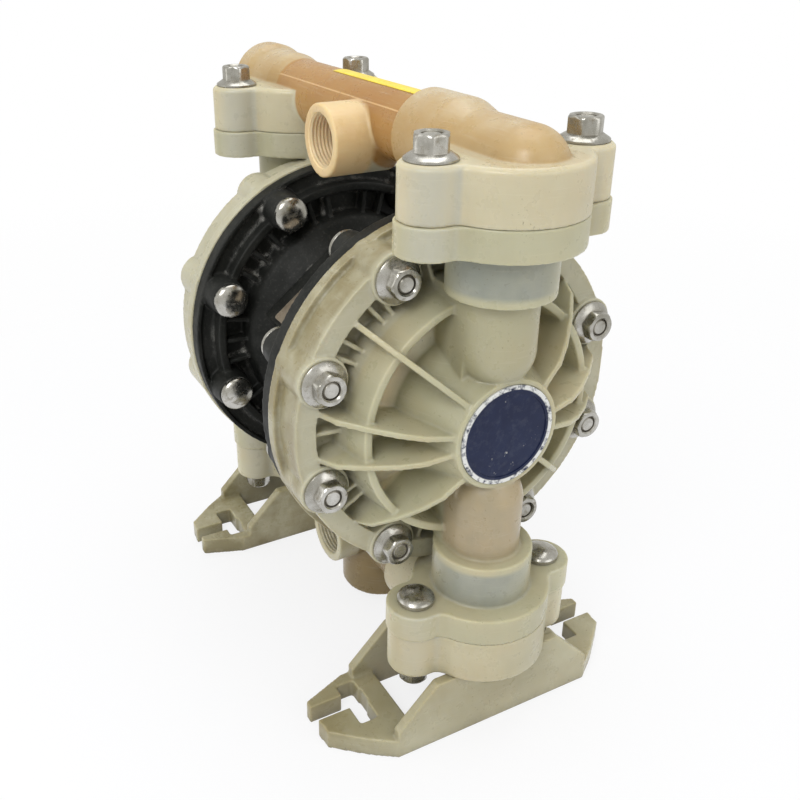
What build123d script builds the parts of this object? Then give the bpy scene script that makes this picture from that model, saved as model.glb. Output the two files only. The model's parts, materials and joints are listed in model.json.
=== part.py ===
"""Air operated double diaphragm pump: two liquid chambers either side of a centre block.

Axes: X along the diaphragm shaft, -Y is the side that the ports face, Z up.
Origin: on the floor plane, midway between the feet. Millimetres.
"""
import os
from math import cos, radians, sin, sqrt

from build123d import *

# ---- layout --------------------------------------------------------------
AXIS_H = 152.0          # shaft axis above the floor
JOINT_X = 50.0          # face where air cover and liquid cover meet
COLUMN_X = 95.0         # flow column axis from the middle of the pump
PORT_FACE_Z = 95.0      # manifold joint face, above and below the shaft axis
FACE_GAP = 0.3          # clearance between neighbouring curved pieces
RUN_GAP = 0.06          # running fit, per side

# ---- fasteners -----------------------------------------------------------
BOLT_D = 8.0            # shank diameter
BOLT_HOLE_D = 9.0       # clearance hole
HEAD_D = 17.0           # domed carriage head
HEAD_H = 5.0
NUT_AF = 13.0           # hexagon across flats
NUT_H = 8.0
NUT_FLANGE_D = 20.5
NUT_FLANGE_H = 2.2
TIP = 0.6               # how far a bolt end stays inside its nut

# ---- cover bolt circle ---------------------------------------------------
COVER_PCD = 147.0
COVER_ANGLES = (20.3, 61.3, 118.7, 159.7, 200.3, 241.3, 298.7, 339.7)
HEAD_X = 30.8           # seat of the domed heads on the air cover
NUT_X = 73.7            # seat of the nuts on the liquid cover
LOBE_R = 11.5           # bolt lobe on the liquid cover
BOSS_BASE_R = 10.0      # bolt boss on the air cover
BOSS_DRAFT = 4.5        # degrees

# ---- liquid cover --------------------------------------------------------
RIM_R = 84.6
RIM_EDGE = 3.0          # rim beyond the plateau
RIM_STEP = 0.8          # rim beyond the air cover's rim
RIM_T = 6.0
PLATEAU_R = RIM_R - RIM_EDGE
PLATEAU_X = 72.0
PLATEAU_IN_R = 71.7
POCKET_X = 63.0
DRUM_BASE_R = 61.0
RING_X = 88.0
RING_R = 57.5
RING_T = 3.5
PANEL_X = 67.0
PANEL_IN_X = 74.0
PANEL_IN_R = 37.0
BADGE_FACE_X = 106.0
BADGE_R = 23.0
BADGE_T = 1.2
BOSS_RIM = 3.4          # plastic rim round the badge
WALL = 4.5
CHAMBER_R = 60.0
CHAMBER_IN_R = 20.5
RIB_T = 2.6
RIB_ANGLES = (9.0, 42.0)
GUSSET_T = 2.0
GUSSET_ANGLES = (0, 15, 29, 35, 49, 54, 75, 90, 105, 126, 131, 145, 151, 165)

# ---- flow columns, collars and joint flanges -----------------------------
COLUMN_R = 16.5
COLUMN_BORE_R = 10.5
COLUMN_END_Z = 36.0
COLUMN_ROOT_Z = 20.0
COLLAR_R = 22.7
COLLAR_Z = 61.0
FLANGE_T = 13.0
FLANGE_R = 32.0
LOBE_Y = 35.0
COVER_LOBE_R = 13.5
MANIFOLD_LOBE_R = 12.5
LOBE_BLEND = 6.0
VALVE_R = 16.0          # valve chamber bore

# ---- check valves --------------------------------------------------------
BALL_R = 11.0
SEAT_H = 6.0
SEAT_HOLE_R = 8.0
SEAT_CHAMFER = 1.0
SEAT_Z = 66.0           # underside of the outlet seat, above the shaft axis
BALL_LIFT = 5.0
BALL_GAP = 0.1
STOP_T = 3.0
STOP_H = 5.0
SEAL_R = 19.5
SEAL_W = 2.4

# ---- manifolds -----------------------------------------------------------
MANIFOLD_T = 21.8       # lobe thickness beyond the joint face
BEVEL = 1.5
JOINT_NUT_H = 9.8
HEAD_POCKET_R = 9.2     # pocket for the bolt heads under the outlet joint
HEAD_POCKET_D = 5.6
TUBE_Z = 112.4
TUBE_R = 16.0
TUBE_END_X = 106.0
TUBE_BORE_R = 12.0
BULGE_R = 19.2
BULGE_X = (38.0, 64.0, 76.0)
STUB_X = (138.0, 136.0, 124.0, 120.0, 98.0, 86.0)
STUB_R = (17.8, 20.0, 20.0, 18.0, 18.0, 16.0)
PORT_Z = 105.6
PORT_R = 16.3
PORT_FACE_Y = 33.5
PORT_BORE_R = 12.05
DRAIN_R = 21.0
DRAIN_FACE_Z = 144.5

# ---- feet ----------------------------------------------------------------
FOOT_OUT_X = 115.0
FOOT_IN_X = 64.5
FOOT_TIP_Y = 81.0
FOOT_T = 10.0
FOOT_WALL = 5.0
FOOT_SIDE_Y = 54.0
FOOT_TOP_Y = 34.0
FOOT_SHOULDER_Z = 15.0
WINDOW_Y = 43.0
SLOT_X = 81.5
SLOT_W = 8.5
SLOT_END_Y = 55.0
CROSS_SLOT_X = 84.0
CROSS_SLOT_L = 26.0
CROSS_SLOT_W = 9.0

# ---- air covers ----------------------------------------------------------
AIR_RIM_R = RIM_R - RIM_STEP
AIR_FLANGE_X = 44.0
AIR_LIP_X = 42.0
AIR_LIP_T = 2.2
AIR_RING_R = 74.0
AIR_RING_T = 4.0
AIR_RING_X = 37.5
AIR_HUB_R = 58.0
AIR_HUB_X = 36.0
AIR_NECK_R = 46.0
AIR_BOWL_R = 59.0
AIR_BOWL_IN_R = 36.0
AIR_BOWL_X = 34.5
AIR_RIB_T = 2.2
AIR_RIB_ANGLES = (0, 10, 31, 41, 51, 72, 81, 99, 108, 129, 139, 149, 170)

# ---- centre block --------------------------------------------------------
CENTRE_X = 25.0
CENTRE_R = 46.0
CHEST_TILT = 51.7       # valve chest leans up and forward, degrees above level
CHEST_FACE = 48.3
CHEST_W = 46.0
CHEST_L = 50.0
PLATE_W = 24.0
PLATE_L = 46.0
PLATE_T = 1.2
PLATE_SLIP = -6.5       # plate centre below the chest centre, along the face
RIVET_INSET = 5.9
RIVET_R = 2.0
RIVET_H = 1.0
SPOOL_R = 8.0
SPOOL_L = 36.0
SPOOL_OFFSET = 31.0
SLEEVE_T = 3.0
CAP_T = 3.0
AIR_PORT_R = 5.9
AIR_PORT_Z = 21.0
EXHAUST_R = 9.3
EXHAUST_Z = 14.0        # below the shaft axis
AIR_BORE_L = 14.0
PORT_PAD = 4.0          # boss wall round a port
PORT_PAD_Y = 49.0

# ---- shaft and diaphragms ------------------------------------------------
SHAFT_R = 8.0
STUD_R = 5.0
BUSH_T = 2.5
BUSH_L = 16.0
DIAPHRAGM_R = 64.0
DIAPHRAGM_T = 3.0
CONVOLUTION = 5.0
CLAMP_R = 33.0          # plates either side of the diaphragm
CLAMP_T = 6.0
LIQUID_HUB_R = 14.0
LIQUID_HUB_T = 4.5
PILOT_W = 5.0

# ---- derived -------------------------------------------------------------
CENTRE = (0, 0, AXIS_H)
SHAFT_AXIS = Axis(CENTRE, (1, 0, 0))
SECTION = Plane(origin=CENTRE, x_dir=(1, 0, 0), z_dir=(0, -1, 0))
END_ON = Plane(origin=CENTRE, x_dir=(0, 1, 0), z_dir=(1, 0, 0))
BOLT_R = BOLT_D / 2
HOLE_R = BOLT_HOLE_D / 2
HALF_T = DIAPHRAGM_T / 2
BOLT_POINTS = [
    (COVER_PCD / 2 * cos(radians(a)), COVER_PCD / 2 * sin(radians(a))) for a in COVER_ANGLES
]
COLUMNS = [(COLUMN_X, LOBE_Y), (COLUMN_X, -LOBE_Y), (-COLUMN_X, LOBE_Y), (-COLUMN_X, -LOBE_Y)]
BUSH_R = SHAFT_R + RUN_GAP + BUSH_T
SLEEVE_R = SPOOL_R + RUN_GAP + SLEEVE_T
BALL_SIT = sqrt(BALL_R**2 - SEAT_HOLE_R**2) - SEAT_CHAMFER + BALL_GAP
OUTLET_BALL_Z = AXIS_H + SEAT_Z + SEAT_H + BALL_SIT
INLET_BALL_Z = AXIS_H - PORT_FACE_Z + SEAT_H + BALL_SIT
STOP_GAP = BALL_LIFT + BALL_R + FACE_GAP
TOP_JOINT = AXIS_H + PORT_FACE_Z
LOW_JOINT = AXIS_H - PORT_FACE_Z
LOW_SEAT = LOW_JOINT - MANIFOLD_T
TUBE_PROFILE = (
    (BULGE_X[0], TUBE_R),
    (BULGE_X[0], BULGE_R),
    (BULGE_X[1], BULGE_R),
    (BULGE_X[2], TUBE_R),
    (TUBE_END_X, TUBE_R),
    (TUBE_END_X, 0),
)
CHEST = Plane(
    origin=CENTRE,
    x_dir=(1, 0, 0),
    z_dir=(0, -cos(radians(CHEST_TILT)), sin(radians(CHEST_TILT))),
)
SPOOL_AXIS = Plane(origin=CENTRE, x_dir=CHEST.z_dir, z_dir=(1, 0, 0))


# ==== liquid cover ========================================================
with BuildPart() as liquid_cover_right:
    # dome, flange, ring rib and badge boss, turned about the shaft axis
    with BuildSketch(SECTION):
        with BuildLine():
            Polyline(
                (JOINT_X, 0),
                (JOINT_X, RIM_R),
                (JOINT_X + RIM_T, RIM_R),
                (JOINT_X + RIM_T, PLATEAU_R),
                (PLATEAU_X, PLATEAU_R),
                (PLATEAU_X, PLATEAU_IN_R),
                (POCKET_X, PLATEAU_IN_R),
                (POCKET_X, DRUM_BASE_R),
                (RING_X, RING_R),
                (RING_X, RING_R - RING_T),
                (PANEL_X, RING_R - RING_T - 2),
                (PANEL_IN_X, PANEL_IN_R),
                (BADGE_FACE_X - 3, BADGE_R + BOSS_RIM),
                (BADGE_FACE_X + 1, BADGE_R + BOSS_RIM - 1),
                (BADGE_FACE_X + 1, BADGE_R + FACE_GAP),
                (BADGE_FACE_X, BADGE_R + FACE_GAP),
                (BADGE_FACE_X, 0),
                close=True,
            )
        make_face()
    revolve(axis=SHAFT_AXIS)
    # radial ribs from the flange over the ring to the boss
    for tilt in RIB_ANGLES:
        for turn in (tilt, -tilt, 180 - tilt, 180 + tilt):
            with BuildSketch(SECTION.rotated((90 - turn, 0, 0))):
                with BuildLine():
                    Polyline(
                        (PLATEAU_X, PLATEAU_IN_R + 1),
                        (PLATEAU_X + 0.5, PLATEAU_IN_R),
                        (RING_X - 7, 68),
                        (RING_X + 2, RING_R + 1),
                        (BADGE_FACE_X - 7.5, PANEL_IN_R + 10),
                        (BADGE_FACE_X - 2.8, PANEL_IN_R + 1),
                        (BADGE_FACE_X - 0.6, BADGE_R + 2.5),
                        (PANEL_X - 4, BADGE_R + 2.5),
                        (POCKET_X - 2, PLATEAU_IN_R + 1),
                        close=True,
                    )
                make_face()
            extrude(amount=RIB_T / 2, both=True)
    # short gussets that split the pockets outside the ring
    for half in (0, 180):
        for tilt in GUSSET_ANGLES:
            with BuildSketch(SECTION.rotated((90 - tilt - half, 0, 0))):
                with BuildLine():
                    Polyline(
                        (POCKET_X - 1, PLATEAU_IN_R + 1),
                        (PLATEAU_X - 2.5, PLATEAU_IN_R + 1),
                        (PLATEAU_X - 1, DRUM_BASE_R - 2),
                        (POCKET_X - 1, DRUM_BASE_R - 2),
                        close=True,
                    )
                make_face()
            extrude(amount=GUSSET_T / 2, both=True)
    # bolt lobes
    with BuildSketch(END_ON.offset(JOINT_X)):
        with Locations(*BOLT_POINTS):
            Circle(LOBE_R)
    extrude(amount=NUT_X - JOINT_X)
    # flow columns, collars and joint flanges, above and below
    for up in (1, -1):
        with BuildSketch(Plane(origin=(COLUMN_X, 0, AXIS_H + up * COLUMN_END_Z), z_dir=(0, 0, up))):
            Circle(COLUMN_R)
        extrude(amount=COLLAR_Z - COLUMN_END_Z)
        with Locations((COLUMN_X, 0, AXIS_H + up * COLUMN_END_Z)):
            Sphere(COLUMN_R)
        middle = (COLUMN_X + POCKET_X) / 2
        with BuildSketch(Plane(origin=(middle, 0, AXIS_H + up * COLUMN_ROOT_Z), z_dir=(0, 0, up))):
            Rectangle(COLUMN_X - POCKET_X, 2 * COLUMN_R)
        extrude(amount=COLLAR_Z - COLUMN_ROOT_Z)
        with BuildSketch(Plane(origin=(COLUMN_X, 0, AXIS_H + up * COLLAR_Z), z_dir=(0, 0, up))):
            Circle(COLLAR_R)
        extrude(amount=PORT_FACE_Z - COLLAR_Z)
        with BuildSketch(Plane(origin=(COLUMN_X, 0, AXIS_H + up * PORT_FACE_Z), z_dir=(0, 0, -up))):
            Circle(FLANGE_R)
            with Locations((0, LOBE_Y), (0, -LOBE_Y)):
                Circle(COVER_LOBE_R)
            fillet(vertices(), LOBE_BLEND)
        extrude(amount=FLANGE_T)
    # pump chamber
    with BuildSketch(SECTION):
        with BuildLine():
            Polyline(
                (JOINT_X, 0),
                (JOINT_X, CHAMBER_R),
                (POCKET_X - WALL, CHAMBER_R - 1),
                (PANEL_X - WALL, RING_R - RING_T - WALL),
                (PANEL_IN_X - WALL, PANEL_IN_R - WALL / 2),
                (BADGE_FACE_X - WALL - 2, CHAMBER_IN_R),
                (BADGE_FACE_X - WALL - 2, 0),
                close=True,
            )
        make_face()
    revolve(axis=SHAFT_AXIS, mode=Mode.SUBTRACT)
    # diaphragm bead seat
    with BuildSketch(END_ON.offset(JOINT_X)):
        Circle(DIAPHRAGM_R + FACE_GAP)
        Circle(CHAMBER_R - 1, mode=Mode.SUBTRACT)
    extrude(amount=HALF_T, mode=Mode.SUBTRACT)
    # column bores and valve chambers
    with BuildSketch(Plane(origin=(COLUMN_X, 0, AXIS_H - PORT_FACE_Z))):
        Circle(COLUMN_BORE_R)
    extrude(amount=2 * PORT_FACE_Z, mode=Mode.SUBTRACT)
    with BuildSketch(Plane(origin=(COLUMN_X, 0, TOP_JOINT))):
        Circle(VALVE_R)
    extrude(amount=SEAT_Z - PORT_FACE_Z, mode=Mode.SUBTRACT)
    with BuildSketch(Plane(origin=(COLUMN_X, 0, LOW_JOINT))):
        Circle(VALVE_R)
    extrude(amount=INLET_BALL_Z + STOP_GAP - LOW_JOINT, mode=Mode.SUBTRACT)
    # rib that stops the inlet ball
    with BuildSketch(Plane(origin=(COLUMN_X, 0, INLET_BALL_Z + STOP_GAP))):
        Rectangle(STOP_T, 2 * COLUMN_BORE_R + 2)
    extrude(amount=STOP_H)
    # bolt holes
    with BuildSketch(END_ON.offset(JOINT_X)):
        with Locations(*BOLT_POINTS):
            Circle(HOLE_R)
    extrude(amount=NUT_X - JOINT_X, mode=Mode.SUBTRACT)
    for up in (1, -1):
        with BuildSketch(Plane(origin=(COLUMN_X, 0, AXIS_H + up * PORT_FACE_Z), z_dir=(0, 0, -up))):
            with Locations((0, LOBE_Y), (0, -LOBE_Y)):
                Circle(HOLE_R)
        extrude(amount=FLANGE_T, mode=Mode.SUBTRACT)
    with BuildSketch(Plane(origin=(COLUMN_X, 0, TOP_JOINT - FLANGE_T))):
        with Locations((0, LOBE_Y), (0, -LOBE_Y)):
            Circle(HEAD_POCKET_R)
    extrude(amount=HEAD_POCKET_D, mode=Mode.SUBTRACT)
liquid_cover_right.part.label = "liquid_cover_right"

left = mirror(liquid_cover_right.part, about=Plane.YZ)
with BuildPart() as liquid_cover_left:
    add(left)
liquid_cover_left.part.label = "liquid_cover_left"


# ==== badge on the near cover =============================================
with BuildPart() as badge:
    with BuildSketch(END_ON.offset(BADGE_FACE_X)):
        Circle(BADGE_R)
    extrude(amount=BADGE_T * 0.7)
    with BuildSketch(END_ON.offset(BADGE_FACE_X)):
        Circle(BADGE_R)
        Circle(BADGE_R - 3.2, mode=Mode.SUBTRACT)
    extrude(amount=BADGE_T)
badge.part.label = "badge"


# ==== air covers ==========================================================
with BuildPart() as air_cover_right:
    with BuildSketch(SECTION):
        with BuildLine():
            Polyline(
                (JOINT_X, 0),
                (JOINT_X, AIR_RIM_R),
                (AIR_LIP_X, AIR_RIM_R),
                (AIR_LIP_X, AIR_RIM_R - AIR_LIP_T),
                (AIR_FLANGE_X, AIR_RIM_R - AIR_LIP_T - 0.4),
                (AIR_FLANGE_X, AIR_RING_R + 0.5),
                (AIR_RING_X, AIR_RING_R),
                (AIR_RING_X, AIR_RING_R - AIR_RING_T),
                (AIR_FLANGE_X, AIR_RING_R - AIR_RING_T - 0.5),
                (AIR_FLANGE_X, AIR_HUB_R + 0.8),
                (AIR_HUB_X, AIR_HUB_R),
                (AIR_HUB_X - 2, AIR_HUB_R - 1),
                (CENTRE_X, AIR_NECK_R),
                (CENTRE_X, 0),
                close=True,
            )
        make_face()
    revolve(axis=SHAFT_AXIS)
    # drafted bolt bosses
    with BuildSketch(END_ON.offset(AIR_FLANGE_X + 1)):
        with Locations(*BOLT_POINTS):
            Circle(BOSS_BASE_R)
    extrude(amount=HEAD_X - AIR_FLANGE_X - 1, taper=BOSS_DRAFT)
    # ribs between the hub and the ring wall
    for half in (0, 180):
        for tilt in AIR_RIB_ANGLES:
            with BuildSketch(SECTION.rotated((90 - tilt - half, 0, 0))):
                with BuildLine():
                    Polyline(
                        (AIR_FLANGE_X + 1, AIR_HUB_R - 2),
                        (AIR_HUB_X + 1.5, AIR_HUB_R - 2),
                        (AIR_RING_X + 1.5, AIR_RING_R - 2),
                        (AIR_FLANGE_X + 1, AIR_RING_R - 2),
                        close=True,
                    )
                make_face()
            extrude(amount=AIR_RIB_T / 2, both=True)
    # bowl behind the diaphragm
    with BuildSketch(SECTION):
        with BuildLine():
            Polyline(
                (JOINT_X, 0),
                (JOINT_X, AIR_BOWL_R),
                (JOINT_X - HALF_T, AIR_BOWL_R),
                (JOINT_X - 5, AIR_BOWL_R - 3),
                (AIR_BOWL_X, AIR_BOWL_IN_R),
                (AIR_BOWL_X, 0),
                close=True,
            )
        make_face()
    revolve(axis=SHAFT_AXIS, mode=Mode.SUBTRACT)
    with BuildSketch(END_ON.offset(JOINT_X)):
        Circle(DIAPHRAGM_R + FACE_GAP)
        Circle(AIR_BOWL_R - 1, mode=Mode.SUBTRACT)
    extrude(amount=-HALF_T, mode=Mode.SUBTRACT)
    # shaft hole and bolt holes
    with BuildSketch(END_ON.offset(CENTRE_X)):
        Circle(SHAFT_R + FACE_GAP)
        with Locations(*BOLT_POINTS):
            Circle(HOLE_R)
    extrude(amount=JOINT_X - CENTRE_X, mode=Mode.SUBTRACT)
air_cover_right.part.label = "air_cover_right"

left = mirror(air_cover_right.part, about=Plane.YZ)
with BuildPart() as air_cover_left:
    add(left)
air_cover_left.part.label = "air_cover_left"


# ==== centre block ========================================================
with BuildPart() as centre_housing:
    with BuildSketch(END_ON.offset(-CENTRE_X)):
        Circle(CENTRE_R)
    extrude(amount=2 * CENTRE_X)
    # valve chest
    with BuildSketch(CHEST.offset(CHEST_FACE)):
        with Locations((0, PLATE_SLIP)):
            RectangleRounded(CHEST_W, CHEST_L, 3)
    extrude(amount=-(CHEST_FACE - SPOOL_OFFSET + SLEEVE_R))
    # port bosses on the back
    for height, radius in ((AIR_PORT_Z, AIR_PORT_R), (-EXHAUST_Z, EXHAUST_R)):
        with BuildSketch(Plane(origin=(0, PORT_PAD_Y, AXIS_H + height), z_dir=(0, 1, 0))):
            Circle(radius + PORT_PAD)
        extrude(amount=-PORT_PAD_Y / 2)
    for height, radius in ((AIR_PORT_Z, AIR_PORT_R), (-EXHAUST_Z, EXHAUST_R)):
        with BuildSketch(Plane(origin=(0, PORT_PAD_Y, AXIS_H + height), z_dir=(0, 1, 0))):
            Circle(radius)
        extrude(amount=-AIR_BORE_L, mode=Mode.SUBTRACT)
    # bore for the shaft, wider where the bushings sit
    with BuildSketch(END_ON.offset(-CENTRE_X)):
        Circle(SHAFT_R + FACE_GAP)
    extrude(amount=2 * CENTRE_X, mode=Mode.SUBTRACT)
    for side in (1, -1):
        with BuildSketch(END_ON.offset(side * CENTRE_X)):
            Circle(BUSH_R)
        extrude(amount=-side * BUSH_L, mode=Mode.SUBTRACT)
    # bore for the spool sleeve and its end caps
    with BuildSketch(SPOOL_AXIS.offset(-CENTRE_X)):
        with Locations((SPOOL_OFFSET, -PLATE_SLIP)):
            Circle(SLEEVE_R)
    extrude(amount=2 * CENTRE_X, mode=Mode.SUBTRACT)
    # rivet holes
    with BuildSketch(CHEST.offset(CHEST_FACE)):
        with Locations((0, PLATE_SLIP)):
            with GridLocations(0, PLATE_L - 2 * RIVET_INSET, 1, 2):
                Circle(RIVET_R / 2)
    extrude(amount=-4, mode=Mode.SUBTRACT)
centre_housing.part.label = "centre_housing"

with BuildPart() as rating_plate:
    with BuildSketch(CHEST.offset(CHEST_FACE)):
        with Locations((0, PLATE_SLIP)):
            RectangleRounded(PLATE_W, PLATE_L, 1.5)
            with GridLocations(0, PLATE_L - 2 * RIVET_INSET, 1, 2):
                Circle(RIVET_R / 2, mode=Mode.SUBTRACT)
    extrude(amount=PLATE_T)
rating_plate.part.label = "rating_plate"

with BuildPart() as plate_rivets:
    with BuildSketch(CHEST.offset(CHEST_FACE + PLATE_T)):
        with Locations((0, PLATE_SLIP)):
            with GridLocations(0, PLATE_L - 2 * RIVET_INSET, 1, 2):
                Circle(RIVET_R)
    extrude(amount=RIVET_H, taper=35)
    with BuildSketch(CHEST.offset(CHEST_FACE + PLATE_T)):
        with Locations((0, PLATE_SLIP)):
            with GridLocations(0, PLATE_L - 2 * RIVET_INSET, 1, 2):
                Circle(RIVET_R / 2)
    extrude(amount=-(PLATE_T + 4))
plate_rivets.part.label = "plate_rivets"


# ==== manifolds ===========================================================
with BuildPart() as outlet_manifold:
    # flanges over the two columns
    for side in (1, -1):
        with BuildSketch(Plane(origin=(side * COLUMN_X, 0, TOP_JOINT))):
            Circle(FLANGE_R)
            with Locations((0, LOBE_Y), (0, -LOBE_Y)):
                Circle(MANIFOLD_LOBE_R)
            fillet(vertices(), LOBE_BLEND)
        extrude(amount=MANIFOLD_T)
    chamfer(faces().filter_by(Axis.Z).group_by(Axis.Z)[-1].edges(), BEVEL)
    # cross tube: a stepped bulge and a round end at +X, a closed stub at -X
    with BuildSketch(SECTION):
        with BuildLine():
            Polyline(
                (-STUB_X[0], TUBE_Z),
                *[(-x, TUBE_Z + r) for x, r in zip(STUB_X, STUB_R)],
                *[(x, TUBE_Z + r) for x, r in TUBE_PROFILE],
                close=True,
            )
        make_face()
    revolve(axis=Axis((0, 0, AXIS_H + TUBE_Z), (1, 0, 0)))
    with Locations((TUBE_END_X, 0, AXIS_H + TUBE_Z)):
        Sphere(TUBE_R)
    # flat under the bulges where they pass over the joint face
    with BuildSketch(Plane(origin=(0, 0, TOP_JOINT), x_dir=(1, 0, 0), z_dir=(0, 0, 1))):
        with Locations((COLUMN_X, 0), (-COLUMN_X, 0)):
            Rectangle(2 * (COLUMN_X - BULGE_X[0]), 2 * STUB_R[1])
    extrude(amount=-BULGE_R, mode=Mode.SUBTRACT)
    # outlet port
    with BuildSketch(Plane(origin=(0, -PORT_FACE_Y, AXIS_H + PORT_Z), z_dir=(0, 1, 0))):
        Circle(PORT_R)
    extrude(amount=PORT_FACE_Y)
    # flow passages
    with BuildSketch(END_ON.offset(-TUBE_END_X)):
        with Locations((0, TUBE_Z)):
            Circle(TUBE_BORE_R)
    extrude(amount=2 * TUBE_END_X, mode=Mode.SUBTRACT)
    with BuildSketch(Plane(origin=(0, 0, TOP_JOINT))):
        with Locations((COLUMN_X, 0), (-COLUMN_X, 0)):
            Circle(VALVE_R)
    extrude(amount=TUBE_Z - PORT_FACE_Z, mode=Mode.SUBTRACT)
    with BuildSketch(Plane(origin=(0, -PORT_FACE_Y, AXIS_H + PORT_Z), z_dir=(0, 1, 0))):
        Circle(PORT_BORE_R)
    extrude(amount=PORT_FACE_Y, mode=Mode.SUBTRACT)
    # ribs that stop the outlet balls
    with BuildSketch(Plane(origin=(0, 0, TOP_JOINT))):
        with Locations((COLUMN_X, 0), (-COLUMN_X, 0)):
            Rectangle(STOP_T, 2 * VALVE_R + 2)
    extrude(amount=STOP_H)
    # bolt holes and seal grooves
    with BuildSketch(Plane(origin=(0, 0, TOP_JOINT))):
        with Locations(*COLUMNS):
            Circle(HOLE_R)
    extrude(amount=MANIFOLD_T, mode=Mode.SUBTRACT)
    with BuildSketch(Plane(origin=(0, 0, TOP_JOINT))):
        with Locations((COLUMN_X, 0), (-COLUMN_X, 0)):
            Circle(SEAL_R + SEAL_W / 2 + FACE_GAP)
            Circle(SEAL_R - SEAL_W / 2 - FACE_GAP, mode=Mode.SUBTRACT)
    extrude(amount=SEAL_W, mode=Mode.SUBTRACT)
outlet_manifold.part.label = "outlet_manifold"

with BuildPart() as inlet_manifold:
    for side in (1, -1):
        with BuildSketch(Plane(origin=(side * COLUMN_X, 0, LOW_JOINT), z_dir=(0, 0, -1))):
            Circle(FLANGE_R)
            with Locations((0, LOBE_Y), (0, -LOBE_Y)):
                Circle(MANIFOLD_LOBE_R)
            fillet(vertices(), LOBE_BLEND)
        extrude(amount=MANIFOLD_T)
    # cross tube with its two bulges and round ends
    with BuildSketch(SECTION):
        with BuildLine():
            Polyline(
                *[(-x, -TUBE_Z - r) for x, r in reversed(TUBE_PROFILE)],
                *[(x, -TUBE_Z - r) for x, r in TUBE_PROFILE],
                close=True,
            )
        make_face()
    revolve(axis=Axis((0, 0, AXIS_H - TUBE_Z), (1, 0, 0)))
    with Locations((TUBE_END_X, 0, AXIS_H - TUBE_Z), (-TUBE_END_X, 0, AXIS_H - TUBE_Z)):
        Sphere(TUBE_R)
    # flat under the bulges where they pass over the joint face
    with BuildSketch(Plane(origin=(0, 0, LOW_JOINT), x_dir=(1, 0, 0), z_dir=(0, 0, 1))):
        with Locations((COLUMN_X, 0), (-COLUMN_X, 0)):
            Rectangle(2 * (COLUMN_X - BULGE_X[0]), 2 * BULGE_R)
    extrude(amount=BULGE_R, mode=Mode.SUBTRACT)
    # inlet port, and the boss that faces down
    with BuildSketch(Plane(origin=(0, -PORT_FACE_Y, AXIS_H - PORT_Z), z_dir=(0, 1, 0))):
        Circle(PORT_R)
    extrude(amount=PORT_FACE_Y)
    with BuildSketch(Plane(origin=(0, 0, AXIS_H - DRAIN_FACE_Z))):
        Circle(DRAIN_R)
    extrude(amount=DRAIN_FACE_Z - TUBE_Z)
    # flow passages
    with BuildSketch(END_ON.offset(-TUBE_END_X)):
        with Locations((0, -TUBE_Z)):
            Circle(TUBE_BORE_R)
    extrude(amount=2 * TUBE_END_X, mode=Mode.SUBTRACT)
    with BuildSketch(Plane(origin=(0, 0, LOW_JOINT), z_dir=(0, 0, -1))):
        with Locations((COLUMN_X, 0), (-COLUMN_X, 0)):
            Circle(TUBE_BORE_R)
    extrude(amount=TUBE_Z - PORT_FACE_Z, mode=Mode.SUBTRACT)
    with BuildSketch(Plane(origin=(0, -PORT_FACE_Y, AXIS_H - PORT_Z), z_dir=(0, 1, 0))):
        Circle(PORT_BORE_R)
    extrude(amount=PORT_FACE_Y, mode=Mode.SUBTRACT)
    with BuildSketch(Plane(origin=(0, 0, LOW_JOINT), z_dir=(0, 0, -1))):
        with Locations(*COLUMNS):
            Circle(HOLE_R)
        with Locations((COLUMN_X, 0), (-COLUMN_X, 0)):
            Circle(SEAL_R + SEAL_W / 2 + FACE_GAP)
            Circle(SEAL_R - SEAL_W / 2 - FACE_GAP, mode=Mode.SUBTRACT)
    extrude(amount=SEAL_W, mode=Mode.SUBTRACT)
    with BuildSketch(Plane(origin=(0, 0, LOW_JOINT), z_dir=(0, 0, -1))):
        with Locations(*COLUMNS):
            Circle(HOLE_R)
    extrude(amount=MANIFOLD_T, mode=Mode.SUBTRACT)
inlet_manifold.part.label = "inlet_manifold"

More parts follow.
